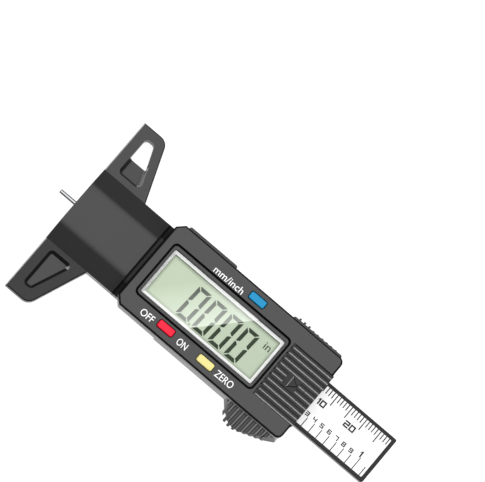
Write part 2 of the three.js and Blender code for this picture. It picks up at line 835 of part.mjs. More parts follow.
const body = new THREE.Group();
body.name = "body";
body.add(toMesh("frame", frame(), DARK));
body.add(toMesh("display_housing", displayHousing(), BEZEL));
gauge.add(body);

const display = new THREE.Group();
display.name = "display";
display.position.set(DISPLAY_X, 0, 0);
display.add(
  toMesh("lens_panel", prism(rectangle(LENS), MASK_TOP, LENS_TOP), {
    colour: 0xe8eef0,
    roughness: 0.06,
  }),
  toMesh(
    "window_frame",
    flatRing(WINDOW_FRAME, WINDOW_FRAME_HOLE, SHELF_TOP, WINDOW_FRAME_TOP),
    BEZEL,
  ),
  toMesh("window_mask", flatRing(LENS, VIEW, SHELF_TOP, MASK_TOP), {
    colour: 0xf4f4f2,
    roughness: 0.5,
  }),
  toMesh("lcd_glass", prism(rectangle(GLASS), GLASS_BOTTOM, GLASS_TOP), {
    colour: 0xb9c8a6,
    roughness: 0.15,
  }),
  toMesh("lcd_reflector", prism(rectangle(REFLECTOR), REFLECTOR_BOTTOM, GLASS_BOTTOM), {
    colour: 0xc9d8b8,
    roughness: 0.4,
  }),
);
[
  ["zebra_strip_left", ZEBRA_Y],
  ["zebra_strip_right", -ZEBRA_Y],
].forEach(([name, y]) => {
  const strip = prism(rectangle(ZEBRA), BOARD_TOP, GLASS_BOTTOM);
  display.add(placed(toMesh(name, strip, { colour: 0xd88a96, roughness: 0.7 }), 0, y, 0));
});
body.add(display);

const circuit = new THREE.Group();
circuit.name = "circuit";
circuit.add(toMesh("circuit_board", circuitBoard(), { colour: 0x1f6b3c, roughness: 0.5 }));
const chip = toMesh("driver_chip", driverChip(), { colour: 0x141414, roughness: 0.4 });
circuit.add(placed(chip, CHIP_X, 0, BOARD_TOP));
for (const [name, { x, y }] of Object.entries(BUTTONS)) {
  const snap = toMesh(`dome_${name}`, dome(), STEEL);
  circuit.add(placed(snap, x, Math.sign(y) * DOME_Y, BOARD_TOP));
}
body.add(circuit);

const battery = new THREE.Group();
battery.name = "battery";
battery.add(placed(toMesh("coin_cell", coinCell(), NICKEL), CELL_X, 0, CELL_BOTTOM));
battery.add(toMesh("battery_contact_negative", negativeContact(), STEEL));
battery.add(toMesh("battery_contact_positive", positiveContact(), STEEL));
body.add(battery);

for (const [name, [x, y, face]] of Object.entries(SCREWS)) {
  const fixing = screw(SCREW_R, SCREW_HEAD_R, SCREW_HEAD, SCREW_LENGTH);
  body.add(placed(toMesh(`housing_screw_${name}`, fixing, STEEL), x, y, face));
}
body.add(placed(toMesh("travel_stop", travelStop(), BRASS), STOP_X, 0, BODY_BACK + 0.1));
body.add(placed(toMesh("gib_spring", gibSpring(), STEEL), 65, -BEAM_HALF - 0.77, 1.7));

for (const [name, { x, y, colour }] of Object.entries(BUTTONS)) {
  const shift = Math.sign(y) * DOME_Y - y;
  const mesh = toMesh(`button_${name}`, button(shift), { colour, roughness: 0.4 });
  gauge.add(placed(mesh, x, y, BUTTON_TOP));
}
gauge.add(toMesh("battery_door", batteryDoor(), DARK));

const slider = new THREE.Group();
slider.name = "slider";
slider.position.set(-READING, 0, 0);
slider.add(toMesh("beam", beam(), DARK));
const gratingBottom = BEAM_TOP + LABEL_PROUD - LABEL_THICK - GRATING_THICK;
const grating = toMesh("grating_strip", flatStrip(GRATING_THICK), {
  colour: 0x2a5f3a,
  roughness: 0.5,
});
slider.add(placed(grating, 0, 0, gratingBottom));
const label = toMesh("scale_label", flatStrip(LABEL_THICK), { colour: 0xf6f6f4, roughness: 0.45 });
slider.add(placed(label, 0, 0, gratingBottom + GRATING_THICK));
const probeMesh = toMesh("probe", probe(), STEEL);
probeMesh.rotation.y = Math.PI / 2;
slider.add(placed(probeMesh, 0, 0, PROBE_Z));
gauge.add(slider);

export default gauge;
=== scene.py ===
"""Looks of the digital tread depth gauge: finishes, printed marks, display, light and camera.

Metres, in the CAD frame: X runs from the measuring face to the beam's free end, Z out of the
display, and the origin is on the measuring face.
"""
import json
import math

import bmesh
import bpy
from mathutils import Matrix, Vector

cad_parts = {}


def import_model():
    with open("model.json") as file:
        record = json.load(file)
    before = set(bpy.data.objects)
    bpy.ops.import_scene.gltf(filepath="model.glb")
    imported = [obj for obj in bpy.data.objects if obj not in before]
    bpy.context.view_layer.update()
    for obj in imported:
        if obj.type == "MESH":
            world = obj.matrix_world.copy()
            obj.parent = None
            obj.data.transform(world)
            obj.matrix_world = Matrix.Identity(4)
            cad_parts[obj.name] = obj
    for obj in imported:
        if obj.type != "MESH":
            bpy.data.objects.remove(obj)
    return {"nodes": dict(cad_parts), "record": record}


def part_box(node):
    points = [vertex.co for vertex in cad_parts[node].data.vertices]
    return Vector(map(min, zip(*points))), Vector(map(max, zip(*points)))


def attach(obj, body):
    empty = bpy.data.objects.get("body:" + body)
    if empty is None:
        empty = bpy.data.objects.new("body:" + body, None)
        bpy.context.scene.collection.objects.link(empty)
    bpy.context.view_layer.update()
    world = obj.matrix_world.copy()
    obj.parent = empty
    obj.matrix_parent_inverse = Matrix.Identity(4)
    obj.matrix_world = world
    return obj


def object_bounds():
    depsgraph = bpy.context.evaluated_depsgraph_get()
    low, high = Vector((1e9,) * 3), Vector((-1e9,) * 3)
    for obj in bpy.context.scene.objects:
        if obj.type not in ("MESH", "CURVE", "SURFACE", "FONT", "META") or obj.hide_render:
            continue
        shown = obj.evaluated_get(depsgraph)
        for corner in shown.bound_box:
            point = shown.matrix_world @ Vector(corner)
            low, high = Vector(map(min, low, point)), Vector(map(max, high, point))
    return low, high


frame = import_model()
cad_low, cad_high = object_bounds()

MM = 0.001
INK_THICK = 0.02 * MM
INK_LIFT = 0.004 * MM


# ---- node trees ---------------------------------------------------------------------------------


def node(tree, kind, settings=None, **inputs):
    """Adds a node. An input is a value or another node's socket; "_" in its name is a space."""
    made = tree.nodes.new(kind)
    for key, value in (settings or {}).items():
        setattr(made, key, value)
    for key, value in inputs.items():
        socket = made.inputs[key.replace("_", " ")]
        if isinstance(value, bpy.types.NodeSocket):
            tree.links.new(value, socket)
        else:
            socket.default_value = value
    return made


def math_node(tree, operation, *values):
    """The result of a maths node on numbers or sockets."""
    made = tree.nodes.new("ShaderNodeMath")
    made.operation = operation
    for socket, value in zip(made.inputs, values):
        if isinstance(value, bpy.types.NodeSocket):
            tree.links.new(value, socket)
        else:
            socket.default_value = value
    return made.outputs[0]


def product(tree, *values):
    result = values[0]
    for value in values[1:]:
        result = math_node(tree, "MULTIPLY", result, value)
    return result


def ramp(tree, value, from_low, from_high, to_low=0.0, to_high=1.0):
    """A smooth step from one range to another."""
    made = node(
        tree,
        "ShaderNodeMapRange",
        {"interpolation_type": "SMOOTHSTEP"},
        Value=value,
        From_Min=from_low,
        From_Max=from_high,
        To_Min=to_low,
        To_Max=to_high,
    )
    return made.outputs["Result"]


def mix_colours(tree, factor, a, b):
    made = node(tree, "ShaderNodeMix", {"data_type": "RGBA"})
    # The node keeps sockets for every data type: these are its factor and its two colours.
    for index, value in ((0, factor), (6, a), (7, b)):
        if isinstance(value, bpy.types.NodeSocket):
            tree.links.new(value, made.inputs[index])
        else:
            made.inputs[index].default_value = value
    return made.outputs[2]


def noise(tree, scale, detail=2.0, stretch=None):
    """Noise over the object's own metres; stretch scales the axes first."""
    place = node(tree, "ShaderNodeTexCoord").outputs["Object"]
    if stretch:
        place = node(tree, "ShaderNodeMapping", Vector=place, Scale=stretch).outputs[0]
    made = node(tree, "ShaderNodeTexNoise", Vector=place, Scale=scale, Detail=detail)
    return made.outputs["Fac"]


def grey(level, tint=(1, 1, 1)):
    return (level * tint[0], level * tint[1], level * tint[2], 1)


def scaled(colour, factor):
    return (colour[0] * factor, colour[1] * factor, colour[2] * factor, 1)


def new_material(name):
    """An empty material: itself, its node tree and its output node."""
    made = bpy.data.materials.new(name)
    made.use_nodes = True
    tree = made.node_tree
    tree.nodes.clear()
    output = tree.nodes.new("ShaderNodeOutputMaterial")
    return made, tree, output


def object_place(tree, axis):
    """One coordinate of the place on the object, in metres."""
    place = node(tree, "ShaderNodeTexCoord").outputs["Object"]
    return node(tree, "ShaderNodeSeparateXYZ", Vector=place).outputs[axis]


def surface_normal(tree, axis):
    """One coordinate of the smoothed surface's direction."""
    normal = node(tree, "ShaderNodeNewGeometry").outputs["Normal"]
    return node(tree, "ShaderNodeSeparateXYZ", Vector=normal).outputs[axis]


def edge_mask(tree, radius):
    """1 on edges that are sharper than the radius, 0 on flats."""
    soft = node(tree, "ShaderNodeBevel", {"samples": 4}, Radius=radius).outputs[0]
    true = node(tree, "ShaderNodeNewGeometry").outputs["Normal"]
    dot = node(tree, "ShaderNodeVectorMath", {"operation": "DOT_PRODUCT"})
    tree.links.new(soft, dot.inputs[0])
    tree.links.new(true, dot.inputs[1])
    return ramp(tree, dot.outputs["Value"], 0.985, 0.93)


EDGE_RADIUS = 0.12 * MM  # edges sharper than this wear
WORN_PALER = 2.6  # how much paler a worn edge is
SHADED_COLOUR = 0.3  # what is left of the colour in full shade
SPECULAR = 0.5


def moulded(
    name, colour, roughness, ior=1.4, grain=0.3, wear=0.35, blotch=0.12, shade=None, light=None
):
    """Moulded plastic: satin grain, slow colour drift, fine rubbing marks and worn edges.

    shade is a function that makes a 0 to 1 socket of painted shade, which darkens the surface.
    light is a pair of such a function and the paler colour of painted highlights that it mixes in.
    """
    made, tree, output = new_material(name)
    drift = noise(tree, 70, 4)
    fine = noise(tree, 7500, 2)
    rubs = noise(tree, 900, 3, (1, 0.06, 1))
    edges = edge_mask(tree, EDGE_RADIUS)
    base = mix_colours(tree, drift, scaled(colour, 1 - blotch), scaled(colour, 1 + blotch))
    worn = math_node(tree, "MULTIPLY", edges, ramp(tree, noise(tree, 450, 3), 0.4, 0.75, 0, wear))
    specular = SPECULAR
    if shade:
        darkness = shade(tree)
        lit = math_node(tree, "SUBTRACT", 1, darkness)
        worn = math_node(tree, "MULTIPLY", worn, lit)
        base = mix_colours(tree, darkness, base, scaled(colour, SHADED_COLOUR))
        specular = math_node(tree, "MULTIPLY", lit, SPECULAR)
    base = mix_colours(tree, worn, base, scaled(colour, WORN_PALER))
    if light:
        mask, pale = light
        base = mix_colours(tree, mask(tree), base, pale)
    rough = math_node(tree, "MULTIPLY_ADD", drift, 0.1, roughness - 0.05)
    rough = math_node(tree, "ADD", rough, ramp(tree, rubs, 0.55, 0.8, 0, 0.05))
    rough = math_node(tree, "SUBTRACT", rough, math_node(tree, "MULTIPLY", worn, 0.15))
    bump = node(tree, "ShaderNodeBump", Strength=grain, Distance=0.02 * MM, Height=fine)
    shader = node(
        tree,
        "ShaderNodeBsdfPrincipled",
        Base_Color=base,
        Roughness=rough,
        IOR=ior,
        Specular_IOR_Level=specular,
        Normal=bump.outputs[0],
    )
    tree.links.new(shader.outputs[0], output.inputs[0])
    return made


def metal(name, colour, roughness, stretch=(1, 1, 1)):
    """Metal with grinding or rolling streaks along one axis."""
    made, tree, output = new_material(name)
    streaks = noise(tree, 2500, 3, stretch)
    stains = noise(tree, 220, 3)
    base = mix_colours(tree, stains, scaled(colour, 0.88), scaled(colour, 1.06))
    rough = math_node(tree, "MULTIPLY_ADD", streaks, 0.18, roughness - 0.09)
    bump = node(tree, "ShaderNodeBump", Strength=0.15, Distance=0.01 * MM, Height=streaks)
    shader = node(
        tree,
        "ShaderNodeBsdfPrincipled",
        Base_Color=base,
        Metallic=1.0,
        Roughness=rough,
        Normal=bump.outputs[0],
    )
    tree.links.new(shader.outputs[0], output.inputs[0])
    return made


def paint(name, colour, roughness=0.45, specular=0.3, glow=0.0):
    """Printed ink: a little uneven in cover. glow is painted light that lifts its recess's shade.
    """
    made, tree, output = new_material(name)
    cover = noise(tree, 5200, 3)
    base = mix_colours(tree, cover, scaled(colour, 0.9), scaled(colour, 1.05))
    bump = node(tree, "ShaderNodeBump", Strength=0.1, Distance=0.01 * MM, Height=cover)
    shader = node(
        tree,
        "ShaderNodeBsdfPrincipled",
        Base_Color=base,
        Roughness=math_node(tree, "MULTIPLY_ADD", cover, 0.1, roughness),
        Specular_IOR_Level=specular,
        Emission_Color=base,
        Emission_Strength=glow,
        Normal=bump.outputs[0],
    )
    tree.links.new(shader.outputs[0], output.inputs[0])
    return made


def board_material(name):
    """Solder mask over copper tracks that run along the board."""
    made, tree, output = new_material(name)
    place = node(tree, "ShaderNodeTexCoord").outputs["Object"]
    tracks = node(
        tree,
        "ShaderNodeTexWave",
        {"bands_direction": "Y", "wave_profile": "SIN"},
        Vector=place,
        Scale=160,
        Distortion=5,
        Detail=0,
    ).outputs["Fac"]
    mask = ramp(tree, tracks, 0.62, 0.7)
    base = mix_colours(tree, mask, (0.006, 0.09, 0.03, 1), (0.02, 0.2, 0.07, 1))
    bump = node(tree, "ShaderNodeBump", Strength=0.4, Distance=0.03 * MM, Height=mask)
    shader = node(
        tree,
        "ShaderNodeBsdfPrincipled",
        Base_Color=base,
        Roughness=0.3,
        Normal=bump.outputs[0],
    )
    tree.links.new(shader.outputs[0], output.inputs[0])
    return made


def zebra_material(name):
    """Conductive layers in a pink rubber strip, one every tenth of a millimetre."""
    made, tree, output = new_material(name)
    place = node(tree, "ShaderNodeTexCoord").outputs["Object"]
    layers = node(
        tree,
        "ShaderNodeTexWave",
        {"bands_direction": "X"},
        Vector=place,
        Scale=1600,
        Distortion=0.1,
    ).outputs["Fac"]
    base = mix_colours(
        tree, ramp(tree, layers, 0.4, 0.6), (0.55, 0.2, 0.25, 1), (0.03, 0.03, 0.03, 1)
    )
    shader = node(tree, "ShaderNodeBsdfPrincipled", Base_Color=base, Roughness=0.65)
    tree.links.new(shader.outputs[0], output.inputs[0])
    return made


# ---- driving places from the frame, and the camera ----------------------------------------------

HOUSING_LOW, HOUSING_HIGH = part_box("display_housing")
MASK_LOW, MASK_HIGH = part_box("window_mask")
LABEL_LOW, LABEL_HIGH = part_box("scale_label")
BEZEL_TOP = HOUSING_HIGH.z
GLASS_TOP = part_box("lcd_glass")[1].z
MASK_BORDER = Vector((0.775, 0.875)) * MM  # how wide the white border is, along X and along Y
VIEW_LOW = MASK_LOW.xy + MASK_BORDER
VIEW_HIGH = MASK_HIGH.xy - MASK_BORDER
VIEW_MIDDLE = (VIEW_LOW + VIEW_HIGH) / 2

# The camera: a long way off, tipped a little to the -Y side and rolled.
TILT = math.radians(8.8)
ROLL = math.radians(40.45)
CAMERA_DISTANCE = 1.0
CAMERA_TARGET = Vector((40.6, 21.35, 3.45)) * MM
FIELD_WIDTH = 130.15 * MM  # how much the picture takes in at the target
TOWARDS_CAMERA = Vector((0, -math.sin(TILT), math.cos(TILT)))


# ---- display ------------------------------------------------------------------------------------

# The glare's edge crosses the view from its foot to its head, both given from the view's middle.
GLARE_FOOT = Vector((-2.9, -6.6)) * MM
GLARE_HEAD = Vector((9.0, 6.3)) * MM
GLARE_FADE = 12.5 * MM  # the glare is gone this far to the left of its edge
GLARE_LEVEL = 0.09  # at each face of the window, along the glare's edge
SHEEN_LEVEL = 0.0046  # the light's even reflection over the whole window
GLARE_NARROW = math.radians(10)  # both are full up to this angle from the camera's direction
GLARE_WIDE = math.radians(24)  # and gone from this one
WINDOW_IOR = 1.13  # low, as if coated


def lcd_material(name):
    """The display's pale green field: lighter at the left, with painted shade along its border."""
    made, tree, output = new_material(name)
    place = node(tree, "ShaderNodeTexCoord").outputs["Object"]
    split = node(tree, "ShaderNodeSeparateXYZ", Vector=place)
    along = ramp(tree, split.outputs["X"], VIEW_LOW.x, VIEW_HIGH.x)
    grain = noise(tree, 4500, 2)
    base = mix_colours(tree, along, (0.41, 0.475, 0.36, 1), (0.38, 0.44, 0.34, 1))
    base = mix_colours(tree, math_node(tree, "MULTIPLY", grain, 0.06), base, (0.6, 0.66, 0.52, 1))
    left = math_node(tree, "SUBTRACT", split.outputs["X"], VIEW_LOW.x)
    right = math_node(tree, "SUBTRACT", VIEW_HIGH.x, split.outputs["X"])
    lower = math_node(tree, "SUBTRACT", split.outputs["Y"], VIEW_LOW.y)
    upper = math_node(tree, "SUBTRACT", VIEW_HIGH.y, split.outputs["Y"])
    across = math_node(tree, "MINIMUM", left, right)
    nearest = math_node(tree, "MINIMUM", across, math_node(tree, "MINIMUM", lower, upper))
    shade = ramp(tree, nearest, 0.1 * MM, 1.2 * MM, 0.45, 0)
    base = mix_colours(tree, shade, base, (0.17, 0.2, 0.14, 1))
    shader = node(
        tree,
        "ShaderNodeBsdfPrincipled",
        Base_Color=base,
        Roughness=0.35,
        Specular_IOR_Level=0.1,
    )
    tree.links.new(shader.outputs[0], output.inputs[0])
    return made


def window_material(name):
    """Clear plastic window. A light's glare lies over its left part, seen from near the front.

    There the glare and an even sheen stand in for the window's own mirror image of the light.
    """
    made, tree, output = new_material(name)
    place = node(tree, "ShaderNodeTexCoord").outputs["Object"]
    split = node(tree, "ShaderNodeSeparateXYZ", Vector=place)
    edge = GLARE_HEAD - GLARE_FOOT
    across = Vector((-edge.y, edge.x)).normalized()  # points to the left of the edge
    start = VIEW_MIDDLE + GLARE_FOOT
    side = math_node(
        tree,
        "ADD",
        math_node(tree, "MULTIPLY", split.outputs["X"], across.x),
        math_node(tree, "MULTIPLY", split.outputs["Y"], across.y),
    )
    side = math_node(tree, "SUBTRACT", side, across.dot(start))
    sharp = ramp(tree, side, -0.05 * MM, 0.1 * MM)
    fade = math_node(tree, "MULTIPLY_ADD", side, -GLARE_LEVEL / GLARE_FADE, GLARE_LEVEL)
    fade = math_node(tree, "MAXIMUM", fade, 0)
    facing = node(tree, "ShaderNodeVectorMath", {"operation": "DOT_PRODUCT"})
    tree.links.new(node(tree, "ShaderNodeNewGeometry").outputs["Incoming"], facing.inputs[0])
    facing.inputs[1].default_value = TOWARDS_CAMERA
    seen = ramp(tree, facing.outputs["Value"], math.cos(GLARE_WIDE), math.cos(GLARE_NARROW))
    lift = math_node(tree, "MULTIPLY_ADD", sharp, fade, SHEEN_LEVEL)
    glare = math_node(tree, "MULTIPLY", lift, seen)
    clear = node(tree, "ShaderNodeBsdfTransparent", Color=(0.985, 0.99, 0.985, 1))
    # painted glare: an emission that stands in for the light's reflection in the window
    painted_glare = node(tree, "ShaderNodeEmission", Color=(0.97, 1, 0.96, 1), Strength=2.2)
    glare_mixed = node(tree, "ShaderNodeMixShader", Fac=glare)
    tree.links.new(clear.outputs[0], glare_mixed.inputs[1])
    tree.links.new(painted_glare.outputs[0], glare_mixed.inputs[2])
    scratches = noise(tree, 700, 2, (1, 0.05, 1))
    rough = ramp(tree, scratches, 0.6, 0.8, 0.03, 0.12)
    shine = node(tree, "ShaderNodeBsdfGlossy", Roughness=rough)
    fresnel = node(tree, "ShaderNodeFresnel", IOR=WINDOW_IOR).outputs[0]
    up = ramp(tree, surface_normal(tree, "Z"), 0.9, 0.97)
    mirror = product(tree, fresnel, up, math_node(tree, "SUBTRACT", 1, seen))
    mixed = node(tree, "ShaderNodeMixShader", Fac=mirror)
    tree.links.new(glare_mixed.outputs[0], mixed.inputs[1])
    tree.links.new(shine.outputs[0], mixed.inputs[2])
    tree.links.new(mixed.outputs[0], output.inputs[0])
    return made


# ---- painted shade and painted highlights on the plastics ---------------------------------------

RIM_DEPTH = 0.66 * MM  # the housing's rounded rim, down from its face
NECK_LENGTH = 1.7 * MM  # the low neck between the stem and the housing
LIP = (1.0 * MM, 0.2 * MM)  # the bar across the neck, from the housing's front
STEM_HALF = 12.1 * MM
FOOT_DEPTH = 14.4 * MM  # the foot's wings end here, at the stem
FOOT_TOP = 2.1 * MM
GRIP_START = 63.5 * MM
GRIP_Y = HOUSING_LOW.y + 0.17 * MM  # the grip's slope lies beyond this
GRIP_RIB_START = 66.1 * MM
GRIP_RIB_PITCH = 1.57 * MM
GRIP_RIB_WIDTH = 0.8 * MM

# How dark the painted shade is at each place, from 0 to 1
OPENING_SHADE = 0.95
BUTTON_SHADE = 0.97
NECK_SHADE = 0.9
LIP_RELIEF = 0.35  # taken off the neck's shade
WING_SHADE = 0.37
STEEP_SHADE = 0.85
WALL_LIGHT = 0.9  # how much of the painted highlight colour the slanted wall takes
GRIP_LIGHT = (0.13, 0.85)  # and the grip, on its ribs and in its valleys


def bezel_shade(tree):
    """Painted shade on the housing's rounded rim and on everything down inside its openings."""
    height = object_place(tree, "Z")
    in_rim = ramp(tree, height, BEZEL_TOP - RIM_DEPTH - 0.05 * MM, BEZEL_TOP - RIM_DEPTH)
    tipped = ramp(tree, surface_normal(tree, "Z"), 0.99, 0.95)
    rim = product(tree, in_rim, tipped)
    across = math_node(tree, "ABSOLUTE", object_place(tree, "Y"))
    inside = ramp(tree, across, HOUSING_HIGH.y - 0.75 * MM, HOUSING_HIGH.y - 0.85 * MM)
    low = ramp(tree, height, BEZEL_TOP - 0.45 * MM, BEZEL_TOP - 0.6 * MM)
    opening = product(tree, inside, low)
    return math_node(tree, "MULTIPLY", math_node(tree, "MAXIMUM", rim, opening), OPENING_SHADE)


def button_shade(tree):
    """Painted shade on a button's sides and flange, below the bezel's face."""
    height = object_place(tree, "Z")
    return ramp(tree, height, BEZEL_TOP + 0.1 * MM, BEZEL_TOP - 0.1 * MM, 0, BUTTON_SHADE)


def body_shade(tree):
    """Painted shade: neck with its lighter bar, -Y wing, walls that face -Y, grip's steep sides."""
    x = object_place(tree, "X")
    y = object_place(tree, "Y")
    z = object_place(tree, "Z")
    front = HOUSING_LOW.x
    start = ramp(tree, x, front - NECK_LENGTH, front - NECK_LENGTH + 0.05 * MM)
    gap = product(tree, start, ramp(tree, x, front + 0.1 * MM, front))
    bar = product(
        tree,
        ramp(tree, x, front - LIP[0] - 0.02 * MM, front - LIP[0] + 0.04 * MM),
        ramp(tree, x, front - LIP[1] + 0.02 * MM, front - LIP[1] - 0.04 * MM),
    )
    neck = math_node(tree, "MULTIPLY", gap, NECK_SHADE)
    neck = math_node(tree, "MULTIPLY_ADD", bar, -LIP_RELIEF, neck)
    wing = product(
        tree,
        ramp(tree, y, -STEM_HALF + 0.05 * MM, -STEM_HALF - 0.05 * MM),
        ramp(tree, x, FOOT_DEPTH + 0.2 * MM, FOOT_DEPTH),
        ramp(tree, z, FOOT_TOP - 0.5 * MM, FOOT_TOP - 0.3 * MM),
    )
    steep = ramp(tree, surface_normal(tree, "Z"), 0.5, 0.35)
    off_centre = grip_rib_distance(tree)
    flank = product(tree, ramp(tree, off_centre, 0.1, 0.15), ramp(tree, off_centre, 0.4, 0.36))
    grip = product(tree, grip_region(tree), math_node(tree, "MAXIMUM", steep, flank))
    turned_down = product(
        tree,
        ramp(tree, surface_normal(tree, "Y"), -0.25, -0.35),
        ramp(tree, surface_normal(tree, "Z"), 0.25, 0.15),
        ramp(tree, x, FOOT_DEPTH + 0.2 * MM, FOOT_DEPTH),
    )
    shade = neck
    for place, strength in ((wing, WING_SHADE), (turned_down, STEEP_SHADE), (grip, STEEP_SHADE)):
        darkness = math_node(tree, "MULTIPLY", place, strength)
        shade = math_node(tree, "MAXIMUM", shade, darkness)
    return shade


def grip_region(tree):
    """The thumb grip's sloping flank, below the housing's -Y side."""
    x = object_place(tree, "X")
    beyond = ramp(tree, object_place(tree, "Y"), GRIP_Y, GRIP_Y - 0.05 * MM)
    return product(tree, beyond, ramp(tree, x, GRIP_START, GRIP_START + 0.1 * MM))


def grip_rib_distance(tree):
    """How far the place is from the nearest rib's middle, in rib pitches: 0 to 0.5."""
    first = GRIP_RIB_START + GRIP_RIB_WIDTH / 2 - GRIP_RIB_PITCH / 2
    along = math_node(tree, "SUBTRACT", object_place(tree, "X"), first)
    phase = math_node(tree, "WRAP", math_node(tree, "DIVIDE", along, GRIP_RIB_PITCH), 1, 0)
    return math_node(tree, "ABSOLUTE", math_node(tree, "SUBTRACT", phase, 0.5))


def body_light(tree):
    """Painted highlights: grip valleys, the opening's slanted wall and the recess's corner."""
    valley = ramp(tree, grip_rib_distance(tree), 0.36, 0.42, *GRIP_LIGHT)
    upright = ramp(tree, surface_normal(tree, "Z"), 0.2, 0.3)
    grip = product(tree, grip_region(tree), valley, upright)
    in_foot = product(
        tree,
        ramp(tree, object_place(tree, "X"), FOOT_DEPTH, FOOT_DEPTH - 0.1 * MM),
        ramp(tree, surface_normal(tree, "Z"), 0.1, 0.2),
    )
    y = object_place(tree, "Y")
    towards_face = ramp(tree, surface_normal(tree, "X"), -0.4, -0.6)
    upper_wing = ramp(tree, y, STEM_HALF, STEM_HALF + 0.1 * MM)
    wall = product(tree, upper_wing, in_foot, towards_face, WALL_LIGHT)
    down = surface_normal(tree, "Y")
    corner = product(
        tree,
        ramp(tree, y, -STEM_HALF, -STEM_HALF - 0.1 * MM),
        in_foot,
        towards_face,
        ramp(tree, down, -0.65, -0.45),
        ramp(tree, down, 0.3, 0.1),
    )
    return math_node(tree, "MAXIMUM", grip, math_node(tree, "MAXIMUM", wall, corner))


def rib_flanks(tree):
    """Painted highlights on the door's rib flanks that face -Y and on its arrowhead's base."""
    height = ramp(tree, object_place(tree, "Z"), BEZEL_TOP, BEZEL_TOP + 0.03 * MM)
    sideways = math_node(tree, "ABSOLUTE", surface_normal(tree, "X"))
    down = product(
        tree, ramp(tree, surface_normal(tree, "Y"), -0.5, -0.62), ramp(tree, sideways, 0.3, 0.2)
    )
    back = ramp(tree, surface_normal(tree, "X"), -0.5, -0.62)
    sloped = ramp(tree, surface_normal(tree, "Z"), 0.4, 0.5)
    return product(tree, math_node(tree, "MAXIMUM", down, back), sloped, height)


# ---- materials by slot --------------------------------------------------------------------------


def cap_plastic(name, colour):
    """A button's coloured plastic."""
    return moulded(
        name, colour, 0.34, ior=1.22, grain=0.15, wear=0, blotch=0.05, shade=button_shade
    )


BLACK_TINT = (1, 1, 1.02)
# painted highlight colour: the paler grey that stands for light on the body's and door's slopes
PAINTED_HIGHLIGHT_GREY = grey(0.4)

MATERIALS = {
    "body_plastic": moulded(
        "body_plastic",
        grey(0.011, BLACK_TINT),
        0.34,
        ior=1.4,
        shade=body_shade,
        light=(body_light, PAINTED_HIGHLIGHT_GREY),
    ),
    "bezel_plastic": moulded(
        "bezel_plastic", grey(0.022, BLACK_TINT), 0.4, ior=1.405, shade=bezel_shade
    ),
    "door_plastic": moulded(
        "door_plastic",
        grey(0.01, BLACK_TINT),
        0.36,
        ior=1.29,
        wear=0.1,
        light=(rib_flanks, PAINTED_HIGHLIGHT_GREY),
    ),
    "beam_plastic": moulded("beam_plastic", grey(0.011, BLACK_TINT), 0.42, ior=1.25, wear=0.05),
    "clear_window": window_material("clear_window"),
    # painted light: the white border glows to lift it out of the window ring's shade
    "mask_white": paint("mask_white", grey(0.45), glow=0.8),
    "lcd_glass": lcd_material("lcd_glass"),
    "lcd_segment": paint("lcd_segment", (0.02, 0.032, 0.016, 1), specular=0.05),
    "reflector_foil": moulded("reflector_foil", (0.5, 0.58, 0.42, 1), 0.3, grain=0.1, wear=0),
    "zebra_rubber": zebra_material("zebra_rubber"),
    "board_green": board_material("board_green"),
    "epoxy_black": moulded("epoxy_black", grey(0.008), 0.22, ior=1.5, grain=0.12, wear=0.1),
    "spring_steel": metal("spring_steel", (0.6, 0.61, 0.62, 1), 0.26, (0.08, 1, 1)),
    "cell_nickel": metal("cell_nickel", (0.66, 0.65, 0.61, 1), 0.2),
    "screw_steel": metal("screw_steel", (0.48, 0.48, 0.5, 1), 0.3),
    "stop_brass": metal("stop_brass", (0.7, 0.5, 0.22, 1), 0.28),
    "probe_steel": metal("probe_steel", (0.3, 0.305, 0.31, 1), 0.22, (1, 0.06, 0.06)),
    # painted light: the label glows, so the door's shade on it hardly shows
    "label_white": paint("label_white", grey(0.42), 0.35, glow=1.1),
    "ink_black": paint("ink_black", grey(0.012), 0.5, 0.1),
    "ink_white": paint("ink_white", grey(0.85), 0.5),
    "button_blue": cap_plastic("button_blue", (0.01, 0.22, 0.43, 1)),
    "button_red": cap_plastic("button_red", (0.72, 0.01, 0.036, 1)),
    "button_yellow": cap_plastic("button_yellow", (0.68, 0.61, 0.233, 1)),
}

SHARP = math.radians(38)  # edges turn this much or more
SHARP_FRAME = math.radians(20)  # its shallow shoulders and pocket walls meet the flats crisply
WELD_DISTANCE = 0.001 * MM
FLAT_ANGLE = math.radians(1)  # triangles that differ less are one flat face
BEVEL_SEGMENTS = 2


def smoothing_group(sharp):
    """Geometry nodes that weld the corners and smooth every edge flatter than the angle."""
    tree = bpy.data.node_groups.new("weld_and_smooth", "GeometryNodeTree")
    tree.interface.new_socket("Geometry", in_out="INPUT", socket_type="NodeSocketGeometry")
    tree.interface.new_socket("Geometry", in_out="OUTPUT", socket_type="NodeSocketGeometry")
    start = tree.nodes.new("NodeGroupInput")
    end = tree.nodes.new("NodeGroupOutput")
    weld = tree.nodes.new("GeometryNodeMergeByDistance")
    weld.inputs["Distance"].default_value = WELD_DISTANCE
    angle = tree.nodes.new("GeometryNodeInputMeshEdgeAngle")
    compare = tree.nodes.new("FunctionNodeCompare")
    compare.data_type = "FLOAT"
    compare.operation = "GREATER_THAN"
    compare.inputs["B"].default_value = sharp
    normal = tree.nodes.new("GeometryNodeSetMeshNormal")
    normal.mode = "SHARPNESS"
    normal.inputs["Remove Custom"].default_value = True
    normal.inputs["Face Sharpness"].default_value = False
    tree.links.new(start.outputs[0], weld.inputs["Geometry"])
    tree.links.new(weld.outputs[0], normal.inputs["Mesh"])
    tree.links.new(angle.outputs["Unsigned Angle"], compare.inputs["A"])
    tree.links.new(compare.outputs[0], normal.inputs["Edge Sharpness"])
    tree.links.new(normal.outputs[0], end.inputs[0])
    return tree


SMOOTHING = {sharp: smoothing_group(sharp) for sharp in (SHARP, SHARP_FRAME)}


